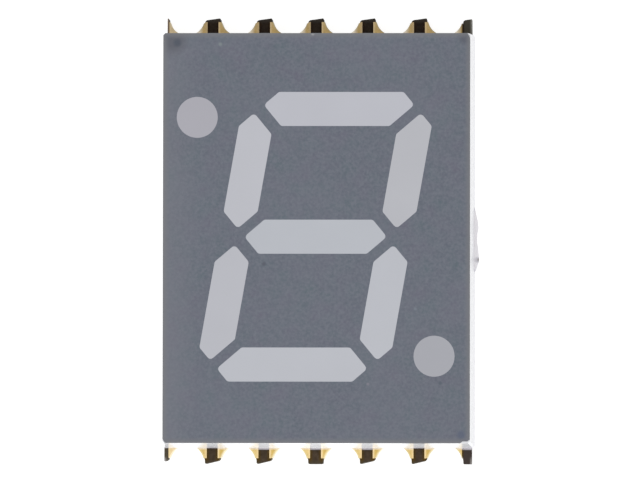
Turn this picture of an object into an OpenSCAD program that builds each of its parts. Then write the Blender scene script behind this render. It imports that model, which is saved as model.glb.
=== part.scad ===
// Surface-mount seven segment display with two round points.
// A black circuit board with six half-hole contacts at each end carries nine
// light-emitting chips under a white moulded reflector, whose grey printed face
// leaves the slanted segments and the points as windows of cast resin.
// The part lies on its solder side: +Z is the viewing direction, +Y the top of the digit.

/* [Digit] */
// Height of the digit over its top and bottom segments
digit_h = 7.06; // [6:0.02:8.2]
// Width of the digit before it is slanted
digit_w = 4.7; // [4:0.02:5.4]
// Width of a segment
stroke_w = 0.83; // [0.7:0.01:0.96]
// Gap between neighbouring segments, square to their mitred ends
segment_gap = 0.28; // [0.16:0.02:0.4]
// Slant of the digit to the right, in degrees
slant = 10; // [0:1:12]
// Radius of the window corners
window_corner_r = 0.09; // [0.03:0.01:0.12]
// Diameter of the round points
dot_d = 1; // [0.9:0.02:1.14]
// Distance of a point's centre from the housing's side wall
dot_inset_x = 0.935; // [0.84:0.005:0.98]
// Distance of a point's centre from the housing's end wall
dot_inset_y = 2.17; // [1.6:0.01:2.5]

/* [Housing] */
// Housing beside the digit, on each side
margin_beside = 1.475; // [1.4:0.005:1.9]
// Housing above and below the digit
margin_above = 1.55; // [1.2:0.01:2]
// Height of the whole display from the solder pads to the face
total_h = 3.1; // [2.6:0.1:4]
// Draft of the two long side walls, in degrees
side_draft = 2.1; // [0:0.1:3]
// Draft of the two end walls, in degrees
end_draft = 2.1; // [0:0.1:3]
// Width of the broken vertical corners
corner_break = 0.05; // [0.02:0.01:0.2]
// How far the gate mark stands out of the right wall
gate_mark_proud = 0.105; // [0.04:0.005:0.15]
// Length of the gate mark along the wall
gate_mark_l = 1.57; // [0.8:0.01:2]
// Height of the gate mark
gate_mark_h = 0.3; // [0.15:0.05:0.6]

/* [Light cells] */
// Straight depth of each window before its walls close in
window_land = 0.3; // [0.1:0.05:0.6]
// Length of a segment cell at the board
cell_floor_l = 1.6; // [1.44:0.02:1.8]
// Width of a segment cell at the board
cell_floor_w = 0.52; // [0.44:0.02:0.6]
// Diameter of a point's cell at the board
dot_floor_d = 0.84; // [0.76:0.02:0.88]
// Thickness of the printed grey face
face_t = 0.03; // [0.02:0.01:0.06]
// Print chipped off the lower left corner of the face, along and up
chip_lower_left_w = 0.06; // [0.05:0.01:0.2]
chip_lower_left_h = 0.1; // [0.05:0.01:0.2]
// Print chipped off the lower right corner of the face, along and up
chip_lower_right_w = 0.24; // [0.1:0.01:0.4]
chip_lower_right_h = 0.045; // [0.03:0.005:0.1]
// Print chipped off the upper right corner of the face, along and down
chip_upper_right_w = 0.07; // [0.05:0.01:0.2]
chip_upper_right_h = 0.13; // [0.05:0.01:0.2]

/* [Board] */
// Thickness of the board over both copper layers
board_t = 0.8; // [0.6:0.1:1]
// How far the board reaches past the housing's foot at each end
overhang = 0.385; // [0.34:0.005:0.44]
// How much further the board's top end reaches
top_end_extra = 0.03; // [0:0.005:0.05]
// Width lost to the saw at the left side, from half a pitch outside the end contacts
saw_loss_left = 0.035; // [0.03:0.005:0.06]
// Width lost to the saw at the right side
saw_loss_right = 0.06; // [0.04:0.01:0.08]
// How much the left sawn edge leans over its length
saw_lean_w = 0.06; // [0:0.01:0.08]
// Thickness of the copper layers
copper_t = 0.035; // [0.02:0.005:0.05]
// Thickness of the solder mask over the copper
mask_t = 0.025; // [0.02:0.005:0.04]

/* [Contacts] */
// Distance between neighbouring contacts
pitch = 1.27; // [1.2:0.01:1.5]
// Diameter of the holes drilled on the board's end edges
drill_d = 0.91; // [0.84:0.01:0.94]
// Thickness of the plating in the holes
plating_t = 0.025; // [0.02:0.005:0.04]
// Bare board between neighbouring pads
pad_gap = 0.27; // [0.16:0.01:0.3]
// Depth of a contact pad behind its half-hole
pad_land = 0.25; // [0.2:0.01:0.4]
// Bare edge between a pad and the board's end, before the rows are shifted
edge_pullback = 0.1; // [0.06:0.01:0.14]
// Least bare edge between a pad and a slanted tooth tip
tip_pullback = 0.03; // [0.02:0.01:0.05]
// Bare edge between the end pads and the board's left side
side_pullback_left = 0.075; // [0.04:0.005:0.1]
// Bare edge between the end pads and the board's right side
side_pullback_right = 0.24; // [0.1:0.01:0.3]
// Shift of the contact rows on the board, to the right and towards the top
row_shift_right = -0.085; // [-0.1:0.005:0]
row_shift_up = 0.035; // [0:0.005:0.05]
// How far a tooth tip of the top row slants back over its width
tip_slant_top = 0.05; // [0:0.005:0.1]
// How far a tooth tip of the bottom row slants back over its width
tip_slant_bottom = 0.085; // [0:0.005:0.1]
// Width of the broken corner on the lower side of a tooth tip
tip_corner_w = 0.03; // [0.02:0.01:0.08]

/* [Chips and wires] */
// Side of a light-emitting chip
chip_w = 0.25; // [0.2:0.01:0.28]
// Height of a light-emitting chip
chip_h = 0.2; // [0.12:0.01:0.26]
// Side of the pad under a chip
die_pad_w = 0.3; // [0.3:0.01:0.32]
// Length of the pad that takes a bond wire
bond_pad_l = 0.16; // [0.14:0.01:0.18]
// Width of the pad that takes a bond wire
bond_pad_w = 0.24; // [0.2:0.01:0.28]
// Distance from the chip to the bond pad in a segment
segment_wire_l = 0.5; // [0.44:0.01:0.56]
// Distance from the chip to the bond pad in a point
dot_wire_l = 0.34; // [0.32:0.01:0.36]
// Diameter of a bond wire
wire_d = 0.03; // [0.025:0.005:0.05]
// Turn of the bond wire's arc, in degrees
wire_turn = 130; // [100:5:150]
// Height of the conductive glue round a chip
glue_h = 0.06; // [0.04:0.01:0.08]
// Width of the copper tracks
track_w = 0.12; // [0.08:0.01:0.16]

/* [Hidden] */
// Contacts 1 to 6 run along the bottom row, 7 to 12 back along the top row
contacts_per_row = 6;
// Share of the wire's length that the chip lies off the middle of a point
dot_chip_share = 0.36;
// How far the digit's middle lies to the right of the housing's and above it
digit_right = -0.02;
digit_up = 0.03;
// Straight pieces in a rounded window corner
corner_steps = 3;
// How far cutting tools pass the faces they cut
over = 0.2;
// Thickness of the slabs that a tapered cell is drawn between
slab = 0.01;
// Glue left under a chip, its rim past the chip's corners and its slope
glue_line = 0.01;
glue_rim = 0.01;
glue_slope = 0.03;
// Metal contact on a chip and the bonds at the ends of a wire
chip_contact_d = 0.11;
chip_contact_h = 0.01;
ball_d = 0.08;
ball_h = 0.03;
stitch_d = 0.09;
stitch_h = 0.015;
// Gap between a contact pad and the solder mask beside it
mask_gap = 0.05;
// Thickness of the mask on the solder side
solder_side_mask_t = 0.02;
// How far the mask stays behind the housing's end walls
mask_setback = 0.1;
// Straight run of a track before it enters its contact pad
track_stub = 0.12;
// How far the gate mark's middle lies above the housing's
gate_mark_up = 0.025;
// Its outline from the top down: shares of its length and of how far it stands out
GATE_MARK = [
    [0, 0], [0.06, 0.2], [0.13, 0.45], [0.21, 0.7], [0.3, 0.85], [0.34, 0.78],
    [0.39, 0.63], [0.46, 0.55], [0.55, 0.58], [0.63, 0.78], [0.72, 0.9], [0.8, 1],
    [0.84, 0.95], [0.89, 0.72], [0.96, 0.35], [1, 0]
];

// Teeth of the bottom row, counted from the left, that broke off straight
STRAIGHT_TEETH = [3, 6];

// Heights of the layers
z_laminate_low = copper_t;
z_laminate_top = board_t - copper_t;
z_board_top = board_t;
z_housing_foot = board_t + mask_t;
z_front = total_h - face_t;
z_face = total_h;
z_land = z_face - face_t - window_land;

// Plan sizes
housing_w = digit_w + 2 * margin_beside;
housing_l = digit_h + 2 * margin_above;
board_l = housing_l + 2 * overhang;
board_right = contacts_per_row * pitch / 2 - saw_loss_right;
board_left = saw_loss_left - contacts_per_row * pitch / 2;
pad_w = pitch - pad_gap;
wall_h = z_front - z_housing_foot;
front_w = housing_w - 2 * wall_h * tan(side_draft);
front_l = housing_l - 2 * wall_h * tan(end_draft);
hole_r = drill_d / 2 - plating_t;
pad_inner = board_l / 2 - hole_r - pad_land;
pad_outer = board_l / 2 - edge_pullback;
tooth_w = pitch - drill_d;

// Skeleton of the digit before it is slanted
half_stroke = stroke_w / 2;
col_x = digit_w / 2 - half_stroke;
row_y = digit_h / 2 - half_stroke;
// The mitred ends give way by this much along x or y
mitre = segment_gap / sqrt(2);
digit_mid = [digit_right, digit_up];
// Centres of the two round points
dot_x = housing_w / 2 - dot_inset_x;
dot_y = housing_l / 2 - dot_inset_y;

// Windows of the top bar, the upper right bar and the middle bar, anticlockwise
top_bar = [
    [col_x - mitre / 2, row_y + mitre / 2],
    [col_x - half_stroke, row_y + half_stroke],
    [half_stroke - col_x, row_y + half_stroke],
    [mitre / 2 - col_x, row_y + mitre / 2],
    [half_stroke + mitre - col_x, row_y - half_stroke],
    [col_x - half_stroke - mitre, row_y - half_stroke]
];
right_bar = [
    [col_x + mitre / 2, row_y - mitre / 2],
    [col_x - half_stroke, row_y - half_stroke - mitre],
    [col_x - half_stroke, half_stroke + mitre],
    [col_x, mitre],
    [col_x + half_stroke, half_stroke + mitre],
    [col_x + half_stroke, row_y - half_stroke]
];
middle_bar = [
    [col_x - mitre, 0],
    [col_x - half_stroke - mitre, half_stroke],
    [half_stroke + mitre - col_x, half_stroke],
    [mitre - col_x, 0],
    [half_stroke + mitre - col_x, -half_stroke],
    [col_x - half_stroke - mitre, -half_stroke]
];

function backwards(list) = [for (i = [len(list) - 1 : -1 : 0]) list[i]];
function flip_x(outline) = backwards([for (p = outline) [-p.x, p.y]]);
function flip_y(outline) = backwards([for (p = outline) [p.x, -p.y]]);
function slanted(p) = [p.x + p.y * tan(slant), p.y] + digit_mid;

// Segments a to g, clockwise from the top, with the middle bar last, then the points
A = 0;
B = 1;
C = 2;
D = 3;
E = 4;
F = 5;
G = 6;
SEGMENTS = [A, B, C, D, E, F, G];
UPPER_LEFT = len(SEGMENTS);
LOWER_RIGHT = UPPER_LEFT + 1;
CELLS = concat(SEGMENTS, [UPPER_LEFT, LOWER_RIGHT]);
bars = [
    top_bar, right_bar, flip_y(right_bar), flip_y(top_bar),
    flip_x(flip_y(right_bar)), flip_x(right_bar), middle_bar
];
centres = [
    slanted([0, row_y]), slanted([col_x, row_y / 2]), slanted([col_x, -row_y / 2]),
    slanted([0, -row_y]), slanted([-col_x, -row_y / 2]), slanted([-col_x, row_y / 2]),
    slanted([0, 0]), [-dot_x, dot_y] + digit_mid, [dot_x, -dot_y] + digit_mid
];

// Direction from each chip to its bond pad
up = [sin(slant), cos(slant)];
wire_ways = [[-1, 0], up, -up, [-1, 0], -up, up, [1, 0], [0, 1], [0, -1]];

// Row and column of each cell's own contact, and of the three common ones
TOP = 1;
BOTTOM = -1;
contacts = [
    [TOP, 2], [TOP, 4], [BOTTOM, 4], [BOTTOM, 1], [BOTTOM, 0],
    [TOP, 1], [BOTTOM, 3], [TOP, 0], [BOTTOM, 5]
];
common_top = [TOP, 3];
common_corner = [TOP, 5];
common_bottom = [BOTTOM, 2];
common_contacts = [common_top, common_corner, common_bottom];

function is_dot(cell) = cell > G;
function wire_l(cell) = is_dot(cell) ? dot_wire_l : segment_wire_l;
function chip_share(cell) = is_dot(cell) ? dot_chip_share : 0;
function chip_at(cell) = centres[cell] - chip_share(cell) * wire_l(cell) * wire_ways[cell];
function bond_at(cell) = chip_at(cell) + wire_l(cell) * wire_ways[cell];
function angle_of(way) = atan2(way.y, way.x);

// Rows and columns: where a contact's hole stands, and where a track enters its pad
function contact_x(contact) =
    (contact[1] - (contacts_per_row - 1) / 2) * pitch + row_shift_right;
function contact_y(contact) = contact[0] * board_l / 2 + row_shift_up;
function board_end(row) = row * board_l / 2 + (row == TOP ? top_end_extra : 0);
function tip_slant(row, tooth) =
    row == TOP ? tip_slant_top : (is_straight(tooth) ? 0 : tip_slant_bottom);
function is_straight(tooth) = len(search(tooth, STRAIGHT_TEETH)) > 0;
function pad_entry(contact) = [
    contact_x(contact),
    contact[0] * (pad_inner + track_w) + row_shift_up
];

// Rounded outline of a convex anticlockwise polygon
function unit(v) = v / norm(v);
function turned(v, angle) = [
    v.x * cos(angle) - v.y * sin(angle),
    v.x * sin(angle) + v.y * cos(angle)
];
function corner_arc(before, p, after) =
    let (u = unit(before - p), v = unit(after - p))
    let (opening = acos(u * v))
    let (middle = p + unit(u + v) * window_corner_r / sin(opening / 2))
    let (spoke = p + u * window_corner_r / tan(opening / 2) - middle)
    [for (k = [0 : corner_steps]) middle + turned(spoke, (180 - opening) * k / corner_steps)];
function rounded(outline) = [
    for (i = [0 : len(outline) - 1])
        each corner_arc(
            outline[(i + len(outline) - 1) % len(outline)],
            outline[i],
            outline[(i + 1) % len(outline)]
        )
];

// Outline of a track of constant width along a route
function way(route, i) = unit(route[i + 1] - route[i]);
function across(v) = [-v.y, v.x];
function bisector(route, i) =
    i == 0 ? across(way(route, 0)) :
    i == len(route) - 1 ? across(way(route, i - 1)) :
    let (m = unit(across(way(route, i - 1)) + across(way(route, i))))
    m / (m * across(way(route, i)));
function track_outline(route) = concat(
    [for (i = [0 : len(route) - 1]) route[i] - bisector(route, i) * track_w / 2],
    [for (i = [len(route) - 1 : -1 : 0]) route[i] + bisector(route, i) * track_w / 2]
);

// A track leaves its pad straight, jogs sideways at 45 degrees and enters its contact straight
function jog(from, contact) =
    let (entry = pad_entry(contact))
    let (stub_y = entry.y - contact[0] * track_stub)
    let (drop = max(abs(entry.x - from.x), track_stub))
    [from, [from.x, stub_y - contact[0] * drop], [entry.x, stub_y], entry];

// The common conductor is a tree: a trunk down the slanted middle with a branch to each chip
trunk_high = (chip_at(A) + chip_at(G)) / 2;
trunk_low = (chip_at(G) + chip_at(D)) / 2;
corner_turn = [contact_x(common_corner), chip_at(B).y];
common_routes = [
    jog(chip_at(A), common_top),
    [chip_at(A), chip_at(D)],
    [chip_at(F), trunk_high, chip_at(B)],
    [chip_at(B), corner_turn, pad_entry(common_corner)],
    [chip_at(B), chip_at(C)],
    [chip_at(E), trunk_low],
    [chip_at(C), [chip_at(LOWER_RIGHT).x, chip_at(C).y], chip_at(LOWER_RIGHT)],
    [chip_at(F), [chip_at(UPPER_LEFT).x, chip_at(F).y], chip_at(UPPER_LEFT)],
    jog(chip_at(D), common_bottom)
];

// A rectangle about a point, turned to a direction
module plate(at, way, size) {
    translate(at)
        rotate(angle_of(way))
            square(size, center = true);
}

// Layer of a flat shape between two heights
module layer(low, high) {
    translate([0, 0, low])
        linear_extrude(height = high - low)
            children();
}

// Outline of the sawn board, with drilled end edges and slanted tooth tips
module board_outline() {
    lean = saw_lean_w / 2;
    difference() {
        polygon([
            [board_left - lean, board_end(BOTTOM)],
            [board_right, board_end(BOTTOM)],
            [board_right, board_end(TOP)],
            [board_left + lean, board_end(TOP)]
        ]);
        for (row = [BOTTOM, TOP]) {
            for (column = [0 : contacts_per_row - 1])
                translate([contact_x([row, column]), contact_y([row, column])])
                    circle(d = drill_d, $fn = 64);
            tooth_tip_cuts(row);
        }
    }
}

// What the saw and the drills took off the teeth of one row
module tooth_tip_cuts(row) {
    for (tooth = [0 : contacts_per_row])
        translate([contact_x([row, tooth - 0.5]), board_end(row)])
            rotate(row == TOP ? 0 : 180)
                tooth_tip_cut(tip_slant(row, tooth));
}

// Cut for one tooth that points up: its slant, its low left corner and its right corner
module tooth_tip_cut(slant) {
    side = tooth_w / 2;
    slope = slant / tooth_w;
    polygon([
        [-side - 2 * tip_corner_w, -slant - 2 * tip_corner_w],
        [tip_corner_w / 4 - side, -slant - tip_corner_w / 2],
        [tip_corner_w - side, tip_corner_w * slope - slant],
        [side - tip_corner_w / 2, -slope * tip_corner_w / 2],
        [side + tip_corner_w, -tip_corner_w],
        [side + tip_corner_w, over],
        [-side - 2 * tip_corner_w, over]
    ]);
}

module board_laminate() {
    color([0.10, 0.09, 0.09])
        layer(z_laminate_low, z_laminate_top)
            board_outline();
}

// Space of the pad round one half-hole, with a margin round it
module contact_pad_outline(contact, margin = 0) {
    low = (contact[0] == TOP ? pad_inner : -pad_outer) + row_shift_up;
    x = contact_x(contact);
    left = max(x - pad_w / 2, board_left + side_pullback_left) - margin;
    right = min(x + pad_w / 2, board_right - side_pullback_right) + margin;
    translate([left, low - margin])
        square([right - left, pad_outer - pad_inner + 2 * margin]);
}

// The pad itself, which also stays behind the slanted tips of its two teeth
module contact_copper_outline(contact) {
    difference() {
        contact_pad_outline(contact);
        translate([0, -contact[0] * tip_pullback])
            tooth_tip_cuts(contact[0]);
    }
}

// Plated half-hole with its pads on both sides of the board
module castellation(contact) {
    hole_at = [contact_x(contact), contact_y(contact), 0];
    difference() {
        union() {
            layer(0, copper_t)
                contact_copper_outline(contact);
            layer(z_laminate_top, z_board_top)
                contact_copper_outline(contact);
            intersection() {
                translate(hole_at)
                    cylinder(d = drill_d, h = board_t, $fn = 64);
                layer(0, board_t)
                    contact_copper_outline(contact);
            }
        }
        translate(hole_at - [0, 0, over])
            cylinder(r = hole_r, h = board_t + 2 * over, $fn = 64);
    }
}

// Copper on the front of the board that belongs to one cell
module cell_copper_outline(cell) {
    plate(bond_at(cell), wire_ways[cell], [bond_pad_l, bond_pad_w]);
    polygon(track_outline(jog(bond_at(cell), contacts[cell])));
}

// Copper on the front of the board that all cells share
module common_copper_outline() {
    for (cell = CELLS)
        plate(chip_at(cell), wire_ways[cell], [die_pad_w, die_pad_w]);
    for (route = common_routes)
        polygon(track_outline(route));
}

module cell_conductor(cell) {
    color([0.85, 0.68, 0.38]) {
        layer(z_laminate_top, z_board_top)
            cell_copper_outline(cell);
        castellation(contacts[cell]);
    }
}

module common_conductor() {
    color([0.85, 0.68, 0.38]) {
        layer(z_laminate_top, z_board_top)
            common_copper_outline();
        for (contact = common_contacts)
            castellation(contact);
    }
}

// Floor of a segment's cell, where it meets the board
module cell_floor(cell) {
    if (is_dot(cell))
        translate(centres[cell])
            circle(d = dot_floor_d, $fn = 64);
    else
        plate(centres[cell], wire_ways[cell], [cell_floor_l, cell_floor_w]);
}

// Black lacquer that fills between the tracks and covers them, open at each cell
module solder_mask_front() {
    half_l = housing_l / 2 - mask_setback;
    color([0.07, 0.07, 0.07])
        difference() {
            layer(z_laminate_top, z_housing_foot)
                intersection() {
                    board_outline();
                    square([housing_w, 2 * half_l], center = true);
                }
            layer(z_laminate_top - over, z_board_top) {
                common_copper_outline();
                for (cell = CELLS)
                    cell_copper_outline(cell);
                for (row = [BOTTOM, TOP])
                    for (column = [0 : contacts_per_row - 1])
                        contact_pad_outline([row, column]);
            }
            layer(z_laminate_top - over, z_housing_foot + over)
                for (cell = CELLS)
                    cell_floor(cell);
        }
}

// Black lacquer on the solder side, clear of the pads
module solder_mask_back() {
    color([0.07, 0.07, 0.07])
        layer(z_laminate_low - solder_side_mask_t, z_laminate_low)
            difference() {
                intersection() {
                    board_outline();
                    square([housing_w, 2 * pad_outer], center = true);
                }
                for (row = [BOTTOM, TOP])
                    for (column = [0 : contacts_per_row - 1])
                        contact_pad_outline([row, column], mask_gap);
            }
}

// Block with drafted walls, drawn as four crossing tapered bars
module drafted_bar(foot, front, length) {
    rotate([90, 0, 0])
        linear_extrude(height = length, center = true)
            polygon([
                [-foot / 2, z_housing_foot],
                [foot / 2, z_housing_foot],
                [front / 2, z_front],
                [-front / 2, z_front]
            ]);
}

module housing_block() {
    long = 2 * housing_l;
    foot_diagonal = (housing_w + housing_l - 2 * corner_break) / sqrt(2);
    front_diagonal = (front_w + front_l - 2 * corner_break) / sqrt(2);
    intersection() {
        drafted_bar(housing_w, front_w, long);
        rotate(90)
            drafted_bar(housing_l, front_l, long);
        rotate(45)
            drafted_bar(foot_diagonal, front_diagonal, long);
        rotate(-45)
            drafted_bar(foot_diagonal, front_diagonal, long);
    }
}

// Two low bumps where the moulding was cut from its runner, at the foot of the right wall
module gate_mark() {
    start = gate_mark_up + gate_mark_l / 2;
    wall = housing_w / 2;
    layer(z_housing_foot, z_housing_foot + gate_mark_h)
        polygon([
            [wall - over, start],
            for (p = GATE_MARK)
                [wall + p.y * gate_mark_proud, start - p.x * gate_mark_l],
            [wall - over, start - gate_mark_l]
        ]);
}

module window(cell) {
    if (is_dot(cell))
        translate(centres[cell])
            circle(d = dot_d, $fn = 96);
    else
        polygon(rounded([for (p = bars[cell]) slanted(p)]));
}

// Space of one light cell: straight at its window, then closing in on the chip
module light_cell(cell, low, high) {
    layer(z_land, high)
        window(cell);
    layer(low, z_housing_foot)
        cell_floor(cell);
    if (is_dot(cell))
        translate([centres[cell].x, centres[cell].y, z_housing_foot])
            cylinder(d1 = dot_floor_d, d2 = dot_d, h = z_land - z_housing_foot, $fn = 96);
    else
        hull() {
            layer(z_land - slab, z_land)
                window(cell);
            layer(z_housing_foot, z_housing_foot + slab)
                cell_floor(cell);
        }
}

module reflector_housing() {
    color([0.95, 0.95, 0.94])
        difference() {
            union() {
                housing_block();
                gate_mark();
            }
            for (cell = CELLS)
                light_cell(cell, z_housing_foot - over, z_front + over);
        }
}

// Grey ink on the housing's front, with its chipped corners
module printed_face() {
    x = front_w / 2;
    y = front_l / 2;
    worn_w = chip_lower_right_w;
    worn_h = chip_lower_right_h;
    color([0.43, 0.45, 0.49])
        layer(z_front, z_face)
            difference() {
                polygon([
                    [corner_break - x, y],
                    [-x, y - corner_break],
                    [-x, chip_lower_left_h - y],
                    [chip_lower_left_w - x, -y],
                    [x - worn_w, -y],
                    [x - worn_w * 3 / 4, worn_h - y],
                    [x - worn_w / 4, worn_h - y],
                    [x, worn_h + corner_break - y],
                    [x, y - chip_upper_right_h],
                    [x - chip_upper_right_w, y]
                ]);
                for (cell = CELLS)
                    window(cell);
            }
}

// Chip with the round metal contact that takes its wire
module chip(cell) {
    place_at(chip_at(cell), wire_ways[cell], z_board_top + glue_line) {
        translate([0, 0, chip_h / 2])
            cube([chip_w, chip_w, chip_h], center = true);
        cylinder(d = chip_contact_d, h = chip_h + chip_contact_h, $fn = 32);
    }
}

module led_chip(cell) {
    color([0.55, 0.56, 0.50])
        chip(cell);
}

module place_at(at, way, height) {
    translate([at.x, at.y, height])
        rotate(angle_of(way))
            children();
}

// Bead of conductive glue that the chip sits in
module glue_bead(cell) {
    foot_r = chip_w / sqrt(2) + glue_rim;
    place_at(chip_at(cell), wire_ways[cell], z_board_top)
        cylinder(r1 = foot_r, r2 = foot_r - glue_slope, h = glue_h, $fn = 48);
}

module chip_glue() {
    color([0.62, 0.62, 0.64])
        for (cell = CELLS)
            difference() {
                glue_bead(cell);
                chip(cell);
            }
}

// Bond wire: a ball on the chip, one arc over its edge and a flat stitch on the bond pad
module bond_wire(cell) {
    start_z = z_board_top + glue_line + chip_h + chip_contact_h;
    rise = start_z + ball_h / 2 - z_board_top;
    span = wire_l(cell);
    chord = norm([span, rise]);
    arc_r = chord / 2 / sin(wire_turn / 2);
    fall = atan2(rise, span);
    middle = [span, -rise] / 2 - turned([0, arc_r * cos(wire_turn / 2)], -fall);
    color([0.90, 0.74, 0.40])
        place_at(chip_at(cell), wire_ways[cell], z_board_top) {
            translate([0, 0, start_z - z_board_top])
                cylinder(d = ball_d, h = ball_h, $fn = 32);
            translate([span, 0, 0])
                cylinder(d = stitch_d, h = stitch_h, $fn = 32);
            intersection() {
                translate([middle.x, 0, middle.y + rise])
                    rotate([90, 0, 0])
                        rotate(90 - fall - wire_turn / 2)
                            rotate_extrude(angle = wire_turn, $fn = 96)
                                translate([arc_r, 0])
                                    circle(d = wire_d, $fn = 24);
                translate([-over, -over, 0])
                    cube([span + 2 * over, 2 * over, total_h]);
            }
        }
}

// Cast resin that fills one cell flush with the face and seals its chip and wire
module resin(cell) {
    color([0.74, 0.74, 0.77])
        difference() {
            light_cell(cell, z_laminate_top, z_face);
            layer(z_laminate_top - over, z_board_top) {
                common_copper_outline();
                cell_copper_outline(cell);
            }
            glue_bead(cell);
            chip(cell);
            bond_wire(cell);
        }
}

board_laminate();
solder_mask_front();
solder_mask_back();
reflector_housing();
printed_face();
chip_glue();
common_conductor();
cell_conductor(A);  // segment_a_conductor
cell_conductor(B);  // segment_b_conductor
cell_conductor(C);  // segment_c_conductor
cell_conductor(D);  // segment_d_conductor
cell_conductor(E);  // segment_e_conductor
cell_conductor(F);  // segment_f_conductor
cell_conductor(G);  // segment_g_conductor
cell_conductor(UPPER_LEFT);  // upper_left_point_conductor
cell_conductor(LOWER_RIGHT);  // lower_right_point_conductor
led_chip(A);  // segment_a_chip
led_chip(B);  // segment_b_chip
led_chip(C);  // segment_c_chip
led_chip(D);  // segment_d_chip
led_chip(E);  // segment_e_chip
led_chip(F);  // segment_f_chip
led_chip(G);  // segment_g_chip
led_chip(UPPER_LEFT);  // upper_left_point_chip
led_chip(LOWER_RIGHT);  // lower_right_point_chip
bond_wire(A);  // segment_a_wire
bond_wire(B);  // segment_b_wire
bond_wire(C);  // segment_c_wire
bond_wire(D);  // segment_d_wire
bond_wire(E);  // segment_e_wire
bond_wire(F);  // segment_f_wire
bond_wire(G);  // segment_g_wire
bond_wire(UPPER_LEFT);  // upper_left_point_wire
bond_wire(LOWER_RIGHT);  // lower_right_point_wire
resin(A);  // segment_a_resin
resin(B);  // segment_b_resin
resin(C);  // segment_c_resin
resin(D);  // segment_d_resin
resin(E);  // segment_e_resin
resin(F);  // segment_f_resin
resin(G);  // segment_g_resin
resin(UPPER_LEFT);  // upper_left_point_resin
resin(LOWER_RIGHT);  // lower_right_point_resin
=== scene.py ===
"""Looks of a surface-mount seven segment display, seen from the front on a white floor."""
import math

import bpy
from mathutils import Matrix, Vector


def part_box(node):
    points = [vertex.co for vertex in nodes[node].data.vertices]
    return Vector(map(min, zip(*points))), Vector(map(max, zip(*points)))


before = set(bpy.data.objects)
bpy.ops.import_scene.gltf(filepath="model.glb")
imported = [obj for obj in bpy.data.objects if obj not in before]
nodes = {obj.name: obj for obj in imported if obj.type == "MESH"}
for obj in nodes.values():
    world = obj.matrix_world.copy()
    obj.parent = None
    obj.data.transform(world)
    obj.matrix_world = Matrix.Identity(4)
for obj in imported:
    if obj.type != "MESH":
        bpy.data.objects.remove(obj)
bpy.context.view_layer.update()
MM = 0.001

# View of the photograph, with the face's middle at this pixel of it. The camera stands far
# off, a little to the right and below.
PICTURE_W, PICTURE_H = 640, 480
FACE_MIDDLE_PX = (316.37, 237.93)
FOCAL_PX = 10264.5
CAMERA_DISTANCE = 250 * MM
TILT_RIGHT = math.radians(1.808)
TILT_DOWN = math.radians(2.137)
ROLL = math.radians(0.095)
SENSOR_W = 36.0
CLIP_NEAR, CLIP_FAR = 0.01, 10.0

# Light, in units of a white sheet's brightness: a dome that fades to the top of the digit
DOME = 1.05
DOME_FADE_TOP = 0.55
WHITE = (1.0, 1.0, 1.0, 1.0)
# One soft lamp in front of the lower edge: place and size in metres, power in watts
KEY_PLACE = (0.02, -0.2, 0.24)
KEY_SIZE = 0.12
KEY_POWER = 0.3
# The white floor is lit from behind, like the sheet of a light table
FLOOR_SIZE = 0.6
FLOOR_COLOUR = (0.3, 0.3, 0.302, 1.0)
FLOOR_CLOUD = 1.02
FLOOR_GLOW = 0.86

# What a dull face shows for each unit of its own colour, and what its sheen adds, which is
# less on the laminate
LIGHT_LEVEL = 1.27
SHEEN = 0.028
LAMINATE_SHEEN = 0.01
# What the gold plating shows in the same way, in the top and the bottom row
GOLD_LEVEL_TOP = 0.92
GOLD_LEVEL_BOTTOM = 1.16
# Most of a noise pattern's values lie between these, and a seed shifts it along each axis
NOISE_LOW, NOISE_HIGH = 0.3, 0.7
SEED_SHIFT = (1.0, 0.7, 0.3)

# Contacts, in millimetres: their pitch, the rows' shift, the holes' inner radius
PITCH = 1.27
HOLES_PER_ROW = 6
ROW_SHIFT = (-0.085, 0.035)
HOLE_R = 0.43
END_HOLE = (HOLES_PER_ROW - 1) / 2 * PITCH
FIRST_HOLE_X = ROW_SHIFT[0] - END_HOLE
LAST_HOLE_X = ROW_SHIFT[0] + END_HOLE
# Each row is painted with shades of its own, mostly lighter in the bottom row as painted light and
# darker in the top row as painted shade, which blend between these distances from the board's ends
ROW_BLEND = 1.0

# The board and the housing's foot, in millimetres
BOARD_LOW, BOARD_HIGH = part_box("board_laminate")
BOARD_HALF = (BOARD_HIGH - BOARD_LOW) / 2 / MM
FOOT_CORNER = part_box("reflector_housing")[0]
FOOT_RIGHT = -FOOT_CORNER.x / MM
FOOT_LOW = FOOT_CORNER.y / MM
FOOT_Z = FOOT_CORNER.z / MM


def linear(r, g, b):
    """Turns an 8-bit sRGB colour into the linear colour that shaders use."""
    def channel(v):
        v /= 255
        return v / 12.92 if v <= 0.04045 else ((v + 0.055) / 1.055) ** 2.4
    return (channel(r), channel(g), channel(b), 1.0)


def scaled(colour, factor):
    """The same colour, made brighter or darker."""
    return tuple(c * factor for c in colour[:3]) + (1.0,)


def seen(r, g, b, level=LIGHT_LEVEL, sheen=SHEEN):
    """The own colour of a surface that this scene's light shows as the 8-bit colour."""
    return tuple(max(c - sheen, 0.0) / level for c in linear(r, g, b)[:3]) + (1.0,)


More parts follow.
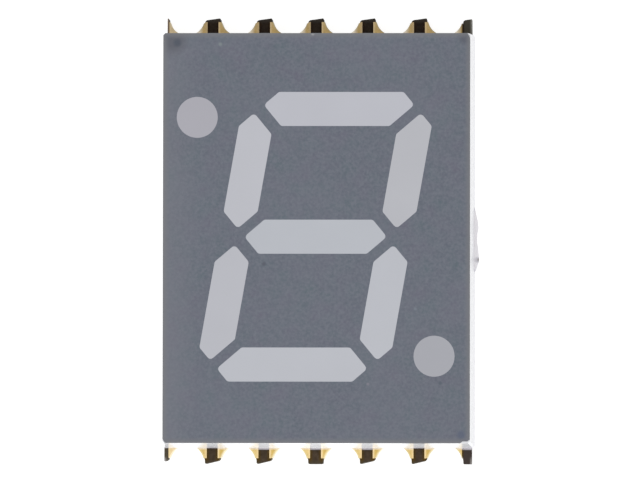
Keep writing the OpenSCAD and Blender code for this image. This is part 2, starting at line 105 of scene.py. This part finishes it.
class Surface:
    """A principled material whose colour, roughness and relief come from node patterns."""

    def __init__(self, name, **sockets):
        self.material = bpy.data.materials.new(name)
        self.material.use_nodes = True
        self.tree = self.material.node_tree
        self.shader = self.tree.nodes["Principled BSDF"]
        for socket, value in sockets.items():
            self.shader.inputs[socket.replace("_", " ")].default_value = value
        place = self.add("ShaderNodeTexCoord")
        self.mm = self.add("ShaderNodeVectorMath", operation="SCALE")
        self.tree.links.new(place.outputs["Object"], self.mm.inputs[0])
        self.mm.inputs["Scale"].default_value = 1 / MM

    def add(self, kind, **settings):
        """Adds a node of that kind to the material."""
        node = self.tree.nodes.new(kind)
        for key, value in settings.items():
            setattr(node, key, value)
        return node

    def feed(self, socket, value):
        """Links an output into a socket, or sets the socket to a plain value."""
        if hasattr(value, "is_linked"):
            self.tree.links.new(value, socket)
        else:
            socket.default_value = value

    def math(self, operation, a, b=0.0, c=0.0):
        """The result of one sum on outputs or plain values."""
        node = self.add("ShaderNodeMath", operation=operation)
        for socket, value in zip(node.inputs, (a, b, c)):
            self.feed(socket, value)
        return node.outputs[0]

    def both(self, a, b):
        """1 where both factors are 1, and 0 where one of them is 0."""
        return self.math("MULTIPLY", a, b)

    def either(self, a, b):
        """The larger of two factors."""
        return self.math("MAXIMUM", a, b)

    def other(self, a):
        """1 where a factor is 0, and 0 where it is 1."""
        return self.math("SUBTRACT", 1.0, a)

    def axis(self, letter):
        """One coordinate of the surface point, in millimetres."""
        split = self.add("ShaderNodeSeparateXYZ")
        self.feed(split.inputs[0], self.mm.outputs[0])
        return split.outputs[letter]

    def past(self, letter, place):
        """How far the surface point lies past a place on one axis, in millimetres."""
        return self.math("SUBTRACT", self.axis(letter), place)

    def short_of(self, letter, place):
        """How far the surface point lies short of a place on one axis, in millimetres."""
        return self.math("SUBTRACT", place, self.axis(letter))

    def beside(self, letter, place):
        """Distance to either side of a place on one axis, in millimetres."""
        return self.math("ABSOLUTE", self.past(letter, place))

    def inside(self, letter, half):
        """Depth in millimetres inside the nearer of two sides, half a size from the middle."""
        return self.math("SUBTRACT", half, self.beside(letter, 0.0))

    def apart(self, x, y, z=None):
        """Distance in millimetres from a point, or from an upright line through it."""
        here = self.add("ShaderNodeCombineXYZ")
        for letter, value in (("X", x), ("Y", y), ("Z", z)):
            if value is not None:
                self.feed(here.inputs[letter], self.past(letter, value))
        length = self.add("ShaderNodeVectorMath", operation="LENGTH")
        self.feed(length.inputs[0], here.outputs[0])
        return length.outputs["Value"]

    def noise(self, per_mm, detail, seed=0.0, stretch=(1, 1, 1)):
        """Noise from 0 to 1 with that many features per millimetre."""
        move = self.add("ShaderNodeMapping")
        self.feed(move.inputs["Vector"], self.mm.outputs[0])
        move.inputs["Scale"].default_value = stretch
        move.inputs["Location"].default_value = tuple(seed * shift for shift in SEED_SHIFT)
        node = self.add("ShaderNodeTexNoise")
        self.feed(node.inputs["Vector"], move.outputs[0])
        node.inputs["Scale"].default_value = per_mm
        node.inputs["Detail"].default_value = detail
        return node.outputs["Fac"]

    def spread(self, value, low, high, out_low=0.0, out_high=1.0):
        """Maps a value from one range onto another, held at both ends."""
        node = self.add("ShaderNodeMapRange", clamp=True)
        for socket, v in zip(node.inputs, (value, low, high, out_low, out_high)):
            self.feed(socket, v)
        return node.outputs[0]

    def rise(self, value, low, high, top=1.0):
        """0 below the low value, growing to the top from the high value on."""
        return self.spread(value, low, high, 0.0, top)

    def fall(self, value, low, high, top=1.0):
        """The top below the low value, fading to 0 from the high value on."""
        return self.spread(value, low, high, top, 0.0)

    def mix(self, factor, a, b):
        """The first colour where the factor is 0, and the second where it is 1."""
        node = self.add("ShaderNodeMix", data_type="RGBA")
        for key, value in (("Factor_Float", factor), ("A_Color", a), ("B_Color", b)):
            socket = next(s for s in node.inputs if s.identifier == key)
            self.feed(socket, value)
        return next(s for s in node.outputs if s.identifier == "Result_Color")

    def colour(self, value):
        self.feed(self.shader.inputs["Base Color"], value)

    def rough(self, noise, low, high):
        """Lets the roughness wander between two values, as the noise does."""
        value = self.spread(noise, NOISE_LOW, NOISE_HIGH, low, high)
        self.feed(self.shader.inputs["Roughness"], value)

    def relief(self, height, depth_mm, strength):
        """Gives the surface a fine relief of that depth."""
        node = self.add("ShaderNodeBump")
        node.inputs["Strength"].default_value = strength
        node.inputs["Distance"].default_value = depth_mm * MM
        self.feed(node.inputs["Height"], height)
        self.feed(self.shader.inputs["Normal"], node.outputs[0])


def right_of_tooth(s):
    """How far right of the middle of the nearest tooth, in millimetres."""
    return s.math("WRAP", s.past("X", ROW_SHIFT[0]), PITCH / 2, -PITCH / 2)


def from_tooth(s):
    """Sideways distance in millimetres from the middle of the nearest tooth."""
    return s.math("ABSOLUTE", right_of_tooth(s))


def toward_bottom(s):
    """1 at the bottom row of contacts, 0 at the top row."""
    return s.fall(s.axis("Y"), ROW_BLEND - BOARD_HALF.y, BOARD_HALF.y - ROW_BLEND)


# Own colour of the housing's white plastic, with the painted shade at its foot, the painted light on
# the lower wall and the gate mark, and the print that ran down the wall
WHITE_PLASTIC = (0.60, 0.607, 0.627, 1.0)
FLOW_DARKER = 0.96
FOOT_PAINTED_SHADE = (0.56, 0.55, 0.595, 1.0)
LOW_WALL_PAINTED_LIGHT = (0.76, 0.765, 0.79, 1.0)
PRINT_RUN_SHADE = (0.24, 0.25, 0.28, 1.0)
GATE_MARK_PAINTED_LIGHT = (0.70, 0.69, 0.71, 1.0)
# The foot's painted shade fades between these heights above the foot, and beside a lower tooth's
# black
FOOT_SHADE_END = (0.3, 0.7)
BLACK_BESIDE = (0.12, 0.22)
# The lower wall leans back less than this from its foot, and is painted brightest in its middle, as
# painted light
LOW_WALL_DEPTH = (0.1, 0.2)
LOW_WALL_MIDDLE = (0.5, 2.0)
# Print ran a little way down the lower wall, above the fifth whole tooth of the lower row
RUN_X = ROW_SHIFT[0] + 2 * PITCH
RUN_HALF_W = (0.22, 0.42)
RUN_ABOVE_FOOT = (1.8, 2.15)
RUN_STRENGTH = 0.8
# The gate mark on the right wall, painted lighter than the plastic as painted light
GATE_MARK_Y = 0.025
GATE_MARK_HALF_L = 0.79
GATE_MARK_FADE = 0.1
GATE_MARK_ABOVE_FOOT = (0.3, 0.5)
GATE_MARK_DEPTH = 0.06
# Dark spots at the gate mark, in millimetres: place, radius and colour
GATE_SPOTS = (
    (3.89, -0.46, 1.12, 0.09, (0.50, 0.49, 0.52, 1.0)),
    (3.925, -0.46, 1.12, 0.05, (0.28, 0.27, 0.265, 1.0)),
)
# The part of a spot's radius that has its full colour
SPOT_CORE = 0.5


def paint_foot_shade(s, body):
    """Paints shade on the housing just above the board, but not where the lower row's gold lights it.
    """
    near_foot = s.fall(s.past("Z", FOOT_Z), *FOOT_SHADE_END)
    over_gold = s.both(s.rise(from_tooth(s), *BLACK_BESIDE), toward_bottom(s))
    return s.mix(s.both(near_foot, s.other(over_gold)), body, FOOT_PAINTED_SHADE)


def low_wall(s, body):
    """Paints light on the lower wall's middle, and adds the print that ran down it."""
    on_wall = s.fall(s.past("Y", FOOT_LOW), *LOW_WALL_DEPTH)
    middle = s.fall(s.beside("X", ROW_SHIFT[0]), *LOW_WALL_MIDDLE)
    # Painted light on the lower wall's middle
    body = s.mix(s.both(middle, on_wall), body, LOW_WALL_PAINTED_LIGHT)
    height = s.rise(s.past("Z", FOOT_Z), *RUN_ABOVE_FOOT, RUN_STRENGTH)
    run = s.both(s.fall(s.beside("X", RUN_X), *RUN_HALF_W), height)
    return s.mix(s.both(run, on_wall), body, PRINT_RUN_SHADE)


def gate_mark(s, body):
    """Paints the gate mark on the right wall lighter than the plastic, as painted light, and adds its
    dark spots.
    """
    along = s.fall(s.beside("Y", GATE_MARK_Y), GATE_MARK_HALF_L - GATE_MARK_FADE, GATE_MARK_HALF_L)
    height = s.fall(s.past("Z", FOOT_Z), *GATE_MARK_ABOVE_FOOT)
    out = s.rise(s.past("X", FOOT_RIGHT), -GATE_MARK_DEPTH, 0.0)
    # Painted light on the gate mark, lighter than the plastic
    body = s.mix(s.both(out, s.both(along, height)), body, GATE_MARK_PAINTED_LIGHT)
    for x, y, z, radius, shade in GATE_SPOTS:
        spot = s.fall(s.apart(x, y, z), radius * SPOT_CORE, radius)
        body = s.mix(spot, body, shade)
    return body


def white_plastic():
    s = Surface("white_moulded_plastic", Specular_IOR_Level=0.1, IOR=1.5)
    flow = s.noise(per_mm=0.7, detail=3.0, seed=3.1)
    body = s.mix(flow, WHITE_PLASTIC, scaled(WHITE_PLASTIC, FLOW_DARKER))
    # Painted shade at the housing's foot
    body = paint_foot_shade(s, body)
    body = low_wall(s, body)
    s.colour(gate_mark(s, body))
    s.rough(s.noise(per_mm=6.0, detail=3.0, seed=1.7), low=0.16, high=0.26)
    s.relief(s.noise(per_mm=14.0, detail=4.0, seed=5.0), depth_mm=0.002, strength=0.4)
    return s.material


# The print's 8-bit shades, and how strongly some of them show
PRINT_EVEN = ((99, 104, 114), (107, 111, 121))
PRINT_EVEN_NOISE = (0.35, 0.65)
PRINT_CLOUD = ((96, 112, 118), (111, 106, 123))
CLOUD_STRENGTH = 0.45
PRINT_GRAIN = (116, 120, 130)
GRAIN_STRENGTH = 0.9
PRINT_LEFT = (124, 126, 134)
LEFT_STRENGTH = 0.5
PRINT_RIM = (122, 123, 127)
PRINT_EDGE = (158, 158, 162)
# Widths of the paler left side and of the rim, and how far below the top the bare edge begins
LEFT_W = 0.9
RIM_W = 0.14
EDGE_BELOW_TOP = (0.001, 0.004)
# Small marks in the print, in millimetres from its middle: place, radius and colour
PRINT_MARKS = (
    (-2.350, 4.725, 0.06, (126, 134, 138)),
    (-1.277, -0.635, 0.07, (95, 99, 109)),
    (2.410, -1.730, 0.05, (119, 126, 136)),
    (1.262, -3.560, 0.05, (126, 126, 136)),
    (3.020, -3.535, 0.06, (95, 102, 112)),
    (3.530, -4.790, 0.14, (98, 104, 120)),
    (-3.520, 4.850, 0.45, (101, 103, 111)),
    (-3.400, 4.760, 0.13, (88, 93, 103)),
    (3.630, 4.890, 0.22, (97, 100, 110)),
    (-0.095, 4.990, 0.06, (225, 225, 228)),
)
# The part of a mark's radius that has its full colour
MARK_CORE = 0.4


def grey_print():
    low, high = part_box("printed_face")
    half = (high - low) / 2 / MM
    s = Surface("grey_screen_print", Specular_IOR_Level=0.35, IOR=1.5)
    broad = s.spread(s.noise(per_mm=0.5, detail=2.0, seed=2.0), *PRINT_EVEN_NOISE)
    cloud = s.spread(s.noise(per_mm=1.9, detail=3.0, seed=9.0), NOISE_LOW, NOISE_HIGH)
    grain = s.rise(s.noise(per_mm=16.0, detail=2.0, seed=6.0), NOISE_LOW, NOISE_HIGH, GRAIN_STRENGTH)
    even = s.mix(broad, *(seen(*shade) for shade in PRINT_EVEN))
    clouded = s.mix(cloud, *(seen(*shade) for shade in PRINT_CLOUD))
    body = s.mix(CLOUD_STRENGTH, even, clouded)
    body = s.mix(grain, body, seen(*PRINT_GRAIN))
    left = s.fall(s.past("X", -half.x), 0.0, LEFT_W, LEFT_STRENGTH)
    body = s.mix(left, body, seen(*PRINT_LEFT))
    for x, y, radius, shade in PRINT_MARKS:
        mark = s.fall(s.apart(x, y), radius * MARK_CORE, radius)
        body = s.mix(mark, body, seen(*shade))
    inward = s.math("MINIMUM", s.inside("X", half.x), s.inside("Y", half.y))
    body = s.mix(s.fall(inward, 0.0, RIM_W), body, seen(*PRINT_RIM))
    edge = s.rise(s.short_of("Z", high.z / MM), *EDGE_BELOW_TOP)
    s.colour(s.mix(edge, body, seen(*PRINT_EDGE)))
    s.rough(s.noise(per_mm=9.0, detail=2.0, seed=4.0), low=0.5, high=0.62)
    s.relief(s.noise(per_mm=26.0, detail=3.0, seed=6.0), depth_mm=0.004, strength=0.35)
    return s.material


# Milky resin: its haze, and the windows' 8-bit shades, each a little different in the photograph
HAZE_DARKER, HAZE_PALER = 0.97, 1.03
HAZE_SEED_STEP = 1.3
WINDOW_SHADES = {
    "segment_a": (188, 189, 197),
    "segment_b": (184, 185, 191),
    "segment_c": (188, 190, 197),
    "segment_d": (188, 190, 197),
    "segment_e": (186, 187, 194),
    "segment_f": (189, 190, 197),
    "segment_g": (185, 188, 195),
    "upper_left_point": (172, 171, 179),
    "lower_right_point": (168, 169, 176),
}


def milky_resin(name, colour):
    s = Surface("resin_" + name, Specular_IOR_Level=0.4, IOR=1.53)
    haze = s.noise(per_mm=0.9, detail=2.0, seed=len(name) * HAZE_SEED_STEP)
    s.colour(s.mix(haze, scaled(colour, HAZE_DARKER), scaled(colour, HAZE_PALER)))
    s.rough(s.noise(per_mm=5.0, detail=2.0, seed=7.0), low=0.34, high=0.46)
    s.relief(s.noise(per_mm=11.0, detail=2.0, seed=2.2), depth_mm=0.002, strength=0.3)
    return s.material


# The gold plating's 8-bit shades in the top and the bottom row: the top row's darker as a painted
# reflection of the shaded upper wall, the bottom row's brighter as a painted reflection of the lit
# lower wall
GOLD_DULL = ((162, 139, 92), (220, 190, 118))
GOLD_BRIGHT = ((172, 148, 102), (238, 210, 142))
# Painted light on the plating: highlights on the seam beside the black and at the hole's rim, and a
# dimmer reflection on the deeper flank
GOLD_SEAM_HIGHLIGHT_LEFT = ((168, 147, 112), (244, 216, 160))
GOLD_SEAM_HIGHLIGHT_RIGHT = ((190, 168, 128), (250, 223, 170))
GOLD_DEEP_DIM_REFLECTION = ((172, 147, 98), (214, 180, 98))
GOLD_RIM_HIGHLIGHT = ((158, 145, 114), (244, 230, 184))
GOLD_FIRST = ((194, 177, 146), (250, 226, 180))
# Shades that only one row has, among them the top row's painted highlight on each tooth's left flank
# and the bottom row's painted reflection of the white wall
TOP_LEFT_FLANK_HIGHLIGHT = (222, 214, 198)
TOP_LAST = (92, 74, 48)
BOTTOM_WALL_REFLECTION = (253, 240, 220)
# From a tooth's middle: the seam beside the black, where a highlight is painted, its right half, and
# the deeper flank, where a dimmer reflection is painted
SEAM_BESIDE = (0.15, 0.2)
RIGHT_HALF = (-0.05, 0.05)
DEEP_BEGINS = (0.16, 0.2)
DEEP_ENDS = (0.24, 0.3)
DEEP_STRENGTH = 0.75
# Where the top row's painted highlight lies on a tooth's left flank, and how strongly it shows
LEFT_FLANK = (-0.36, -0.24)
LEFT_FLANK_STRENGTH = 0.8
# The plating's rim around the hole, where a highlight is painted, and the gold at the housing's foot,
# painted bright as a reflection of the white wall
RIM_FADE = 0.05
WALL_REFLECTION_PAST_FOOT = (-0.05, -0.01)
WALL_REFLECTION_STRENGTH = 0.8
# The gold right of the last hole is dark, and at the left of the first hole it is pale
LAST_W = 0.05
FIRST_PAST_HOLE = (-0.19, -0.09)
FIRST_STRENGTH = 0.7


def from_hole(s):
    """Distance in millimetres from the middle of the nearest half-hole."""
    across = s.math("SUBTRACT", PITCH / 2, from_tooth(s))
    end = s.math("SUBTRACT", s.beside("Y", ROW_SHIFT[1]), BOARD_HALF.y)
    squares = s.math("ADD", s.math("POWER", across, 2.0), s.math("MULTIPLY", end, end))
    return s.math("SQRT", squares)


def gold_plate():
    s = Surface("gold_plating", Metallic=1.0)
    bottom = toward_bottom(s)
    top = s.other(bottom)
    side = from_tooth(s)

    def top_gold(shade):
        return seen(*shade, GOLD_LEVEL_TOP, 0.0)

    def bottom_gold(shade):
        return seen(*shade, GOLD_LEVEL_BOTTOM, 0.0)

    # Painted reflections: the top row's gold as shaded, the bottom row's as lit
    def by_row(shades):
        return s.mix(bottom, top_gold(shades[0]), bottom_gold(shades[1]))

    wear = s.spread(s.noise(per_mm=7.0, detail=4.0, seed=1.0), NOISE_LOW, NOISE_HIGH)
    body = s.mix(wear, by_row(GOLD_DULL), by_row(GOLD_BRIGHT))
    # Painted highlight on the seam beside the black, brighter on its right half
    right = s.rise(right_of_tooth(s), *RIGHT_HALF)
    seam = s.mix(right, by_row(GOLD_SEAM_HIGHLIGHT_LEFT), by_row(GOLD_SEAM_HIGHLIGHT_RIGHT))
    body = s.mix(s.fall(side, *SEAM_BESIDE), body, seam)
    # Dimmer painted reflection on the deeper flank's right half
    deep = s.both(s.rise(side, *DEEP_BEGINS), s.fall(side, *DEEP_ENDS, DEEP_STRENGTH))
    body = s.mix(s.both(deep, right), body, by_row(GOLD_DEEP_DIM_REFLECTION))
    # Painted highlight on the plating's rim around the hole
    body = s.mix(s.fall(from_hole(s), HOLE_R, HOLE_R + RIM_FADE), body, by_row(GOLD_RIM_HIGHLIGHT))
    # Painted highlight on the left flank of each top tooth
    left_highlight = s.fall(right_of_tooth(s), *LEFT_FLANK, LEFT_FLANK_STRENGTH)
    body = s.mix(s.both(left_highlight, top), body, top_gold(TOP_LEFT_FLANK_HIGHLIGHT))
    # Painted reflection of the white wall on the lower row's gold at the housing's foot
    wall_reflection = s.rise(s.past("Y", FOOT_LOW), *WALL_REFLECTION_PAST_FOOT, WALL_REFLECTION_STRENGTH)
    body = s.mix(s.both(wall_reflection, bottom), body, bottom_gold(BOTTOM_WALL_REFLECTION))
    last = s.rise(s.past("X", LAST_HOLE_X + HOLE_R), -LAST_W, 0.0)
    body = s.mix(s.both(last, top), body, top_gold(TOP_LAST))
    first = s.fall(s.past("X", FIRST_HOLE_X), *FIRST_PAST_HOLE, FIRST_STRENGTH)
    s.colour(s.mix(first, body, by_row(GOLD_FIRST)))
    s.rough(s.noise(per_mm=18.0, detail=3.0, seed=8.0), low=0.25, high=0.42)
    drawn = s.noise(per_mm=24.0, detail=3.0, seed=3.0, stretch=(1, 1, 0.25))
    s.relief(drawn, depth_mm=0.004, strength=0.5)
    return s.material


# The black laminate's 8-bit shades in the top and the bottom row, mostly lighter in the bottom row as
# painted light and darker in the top row as painted shade
LAMINATE_DARK = ((45, 37, 31), (62, 51, 40))
LAMINATE_PALE = ((60, 51, 42), (79, 67, 55))
LAMINATE_BESIDE = ((52, 38, 16), (80, 62, 28))
LAMINATE_TIP = ((66, 61, 55), (73, 66, 53))
LAMINATE_FIRST = ((45, 37, 31), (82, 75, 62))
LAMINATE_LAST = ((76, 72, 62), (68, 60, 56))
# Shades of the worn corners, and of the housing's foot line on the lower teeth
WORN_TOP_LEFT = (140, 122, 104)
WORN_TOP_RIGHT = (132, 130, 124)
BARE_TOP_RIGHT = (215, 213, 208)
WORN_BOTTOM = (150, 146, 142)
FOOT_LINE = (208, 204, 210)
WEAVE_NOISE = (0.35, 0.7)
# From a tooth's middle and from the board's ends and sides, where a shade begins or ends
SIDE_OF_BLACK = (0.06, 0.125)
TIP_DEPTH = (0.02, 0.12)
FIRST_TOOTH_W = (0.06, 0.1)
LAST_TOOTH_W = (0.21, 0.25)
WORN_BELOW_FOOT = (0.2, 0.4)
WORN_TOP_L = (0.4, 0.6)
WORN_BOTTOM_L = (0.1, 0.2)
WORN_RIGHT_W = (0.03, 0.09)
WORN_BOTTOM_LEFT_W = (0.0, 0.04)
WORN_BOTTOM_RIGHT_W = (0.03, 0.08)
BARE_W = (0.02, 0.04)
BARE_L = (0.25, 0.35)
# The foot line hangs lower over the three middle teeth and the last one
THREE_TEETH = (1.45, 1.6)
PAST_LAST_HOLE = (0.21, 0.41)
LOWER_BY = 0.037
HIGHER_BY = 0.022
FOOT_LINE_FADE = (-0.035, -0.005)
UNDER_HOUSING = (0.02, 0.08)
ON_TOP_BELOW_FOOT = (0.08, 0.12)


def worn_corners(s, body):
    """Pales the upper edges of the end teeth, where the black has worn off."""
    from_left = s.past("X", -BOARD_HALF.x)
    from_right = s.short_of("X", BOARD_HALF.x)
    from_top = s.short_of("Y", BOARD_HALF.y)
    from_bottom = s.past("Y", -BOARD_HALF.y)
    worn = s.fall(s.short_of("Z", FOOT_Z), *WORN_BELOW_FOOT)
    upper = s.both(worn, s.fall(from_top, *WORN_TOP_L))
    lower = s.both(worn, s.fall(from_bottom, *WORN_BOTTOM_L))
    bare = s.both(s.fall(from_right, *BARE_W), s.fall(from_top, *BARE_L))
    sides = s.either(s.fall(from_left, *WORN_BOTTOM_LEFT_W), s.fall(from_right, *WORN_BOTTOM_RIGHT_W))
    for factor, shade in (
        (s.both(s.fall(from_left, *FIRST_TOOTH_W), upper), WORN_TOP_LEFT),
        (s.both(s.fall(from_right, *WORN_RIGHT_W), upper), WORN_TOP_RIGHT),
        (s.both(bare, worn), BARE_TOP_RIGHT),
        (s.both(sides, lower), WORN_BOTTOM),
    ):
        body = s.mix(factor, body, seen(*shade, sheen=LAMINATE_SHEEN))
    return body


def foot_line(s, body, bottom):
    """Draws the housing's white foot a little lower over some teeth of the lower row."""
    middle = s.fall(s.beside("X", ROW_SHIFT[0]), *THREE_TEETH)
    last = s.rise(s.past("X", LAST_HOLE_X), *PAST_LAST_HOLE)
    drop = s.math("MULTIPLY_ADD", s.either(middle, last), LOWER_BY, -HIGHER_BY)
    line = s.rise(s.math("ADD", s.past("Y", FOOT_LOW), drop), *FOOT_LINE_FADE)
    outside = s.fall(s.past("Y", FOOT_LOW), *UNDER_HOUSING)
    on_top = s.both(s.fall(s.short_of("Z", FOOT_Z), *ON_TOP_BELOW_FOOT), bottom)
    line = s.both(line, s.both(outside, on_top))
    return s.mix(line, body, seen(*FOOT_LINE, sheen=LAMINATE_SHEEN))


def black_laminate():
    s = Surface("black_laminate", Specular_IOR_Level=0.12, IOR=1.5)
    fibres = s.noise(per_mm=9.0, detail=3.0, seed=4.4, stretch=(1, 1, 7))
    bottom = toward_bottom(s)

    # The bottom row's copy of the laminate is mostly painted lit, the top row's shaded
    def by_row(shades):
        return s.mix(bottom, *(seen(*shade, sheen=LAMINATE_SHEEN) for shade in shades))

    weave = s.spread(fibres, *WEAVE_NOISE)
    body = s.mix(weave, by_row(LAMINATE_DARK), by_row(LAMINATE_PALE))
    body = s.mix(s.rise(from_tooth(s), *SIDE_OF_BLACK), body, by_row(LAMINATE_BESIDE))
    body = s.mix(s.fall(s.inside("Y", BOARD_HALF.y), *TIP_DEPTH), body, by_row(LAMINATE_TIP))
    first = s.fall(s.past("X", -BOARD_HALF.x), *FIRST_TOOTH_W)
    body = s.mix(first, body, by_row(LAMINATE_FIRST))
    last = s.fall(s.short_of("X", BOARD_HALF.x), *LAST_TOOTH_W)
    body = s.mix(last, body, by_row(LAMINATE_LAST))
    body = worn_corners(s, body)
    s.colour(foot_line(s, body, bottom))
    s.rough(fibres, low=0.5, high=0.75)
    s.relief(fibres, depth_mm=0.008, strength=0.6)
    return s.material


# 8-bit colours of what mostly shows at the back or inside
MASK_SHADES = ((18, 18, 19), (30, 29, 30))
CHIP_SHADES = ((120, 124, 110), (150, 152, 140))
GLUE_SHADES = ((140, 140, 142), (190, 190, 192))


def black_mask():
    s = Surface("black_solder_mask", Specular_IOR_Level=0.5, IOR=1.5)
    s.colour(s.mix(s.noise(per_mm=3.0, detail=3.0, seed=5.5), *(linear(*c) for c in MASK_SHADES)))
    s.rough(s.noise(per_mm=8.0, detail=2.0, seed=6.5), low=0.28, high=0.42)
    s.relief(s.noise(per_mm=16.0, detail=2.0, seed=1.5), depth_mm=0.003, strength=0.4)
    return s.material


def crystal():
    s = Surface("chip_crystal", Specular_IOR_Level=0.6, IOR=2.0)
    s.colour(s.mix(s.noise(per_mm=20.0, detail=2.0), *(linear(*c) for c in CHIP_SHADES)))
    s.rough(s.noise(per_mm=30.0, detail=2.0, seed=2.0), low=0.15, high=0.3)
    return s.material


def silver_glue():
    s = Surface("silver_glue", Metallic=0.6)
    s.colour(s.mix(s.noise(per_mm=40.0, detail=3.0), *(linear(*c) for c in GLUE_SHADES)))
    s.rough(s.noise(per_mm=30.0, detail=2.0, seed=2.0), low=0.4, high=0.6)
    s.relief(s.noise(per_mm=40.0, detail=3.0, seed=3.0), depth_mm=0.003, strength=0.6)
    return s.material


def dress(node, material):
    """Gives one node its material."""
    mesh = nodes[node].data
    mesh.materials.clear()
    mesh.materials.append(material)


def dress_all():
    gold, mask, chip = gold_plate(), black_mask(), crystal()
    dress("board_laminate", black_laminate())
    dress("solder_mask_front", mask)
    dress("solder_mask_back", mask)
    dress("reflector_housing", white_plastic())
    dress("printed_face", grey_print())
    dress("chip_glue", silver_glue())
    dress("common_conductor", gold)
    for cell, shade in WINDOW_SHADES.items():
        dress(cell + "_conductor", gold)
        dress(cell + "_wire", gold)
        dress(cell + "_chip", chip)
        dress(cell + "_resin", milky_resin(cell, seen(*shade)))


def floor_material():
    s = Surface("white_floor", Specular_IOR_Level=0.2, Roughness=0.9)
    cloud = s.noise(per_mm=0.05, detail=2.0)
    s.colour(s.mix(cloud, FLOOR_COLOUR, scaled(FLOOR_COLOUR, FLOOR_CLOUD)))
    s.shader.inputs["Emission Color"].default_value = WHITE
    s.shader.inputs["Emission Strength"].default_value = FLOOR_GLOW
    return s.material


def add_floor():
    half = FLOOR_SIZE / 2
    mesh = bpy.data.meshes.new("floor")
    corners = [(-half, -half, 0), (half, -half, 0), (half, half, 0), (-half, half, 0)]
    mesh.from_pydata(corners, [], [(0, 1, 2, 3)])
    mesh.materials.append(floor_material())
    floor = bpy.data.objects.new("floor", mesh)
    bpy.context.collection.objects.link(floor)


def add_dome():
    world = bpy.data.worlds.new("studio")
    bpy.context.scene.world = world
    world.use_nodes = True
    tree = world.node_tree
    back = tree.nodes["Background"]
    back.inputs["Color"].default_value = WHITE
    place = tree.nodes.new("ShaderNodeTexCoord")
    fade = tree.nodes.new("ShaderNodeVectorMath")
    fade.operation = "DOT_PRODUCT"
    fade.inputs[1].default_value = (0.0, -DOME_FADE_TOP, 0.0)
    total = tree.nodes.new("ShaderNodeMath")
    total.inputs[1].default_value = DOME
    tree.links.new(place.outputs["Generated"], fade.inputs[0])
    tree.links.new(fade.outputs["Value"], total.inputs[0])
    tree.links.new(total.outputs[0], back.inputs["Strength"])


def add_lamp():
    lamp = bpy.data.lights.new("key", "AREA")
    lamp.size = KEY_SIZE
    lamp.energy = KEY_POWER
    light = bpy.data.objects.new("key", lamp)
    light.location = KEY_PLACE
    light.rotation_mode = "QUATERNION"
    light.rotation_quaternion = (-Vector(KEY_PLACE)).to_track_quat("-Z", "Y")
    bpy.context.collection.objects.link(light)


def add_camera():
    """Stands the camera where the photograph was taken, with the same framing."""
    face_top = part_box("printed_face")[1].z
    back = Vector((math.tan(TILT_RIGHT), -math.tan(TILT_DOWN), 1.0)).normalized()
    right = Vector((0, 1, 0)).cross(back).normalized()
    up = back.cross(right)
    turn = Matrix.Rotation(ROLL, 3, back)
    right, up = turn @ right, turn @ up
    scale = CAMERA_DISTANCE / FOCAL_PX
    off_right = (PICTURE_W / 2 - FACE_MIDDLE_PX[0]) * scale
    off_up = (FACE_MIDDLE_PX[1] - PICTURE_H / 2) * scale
    aim = Vector((0, 0, face_top)) + right * off_right + up * off_up
    facing = Matrix((right, up, back)).transposed().to_4x4()
    data = bpy.data.cameras.new("camera")
    data.sensor_width = SENSOR_W
    data.lens = FOCAL_PX * SENSOR_W / PICTURE_W
    data.clip_start, data.clip_end = CLIP_NEAR, CLIP_FAR
    camera = bpy.data.objects.new("camera", data)
    camera.matrix_world = Matrix.Translation(aim + back * CAMERA_DISTANCE) @ facing
    bpy.context.collection.objects.link(camera)
    bpy.context.scene.camera = camera


add_camera()
add_floor()
add_dome()
add_lamp()
dress_all()
bpy.context.scene.view_settings.view_transform = "Standard"
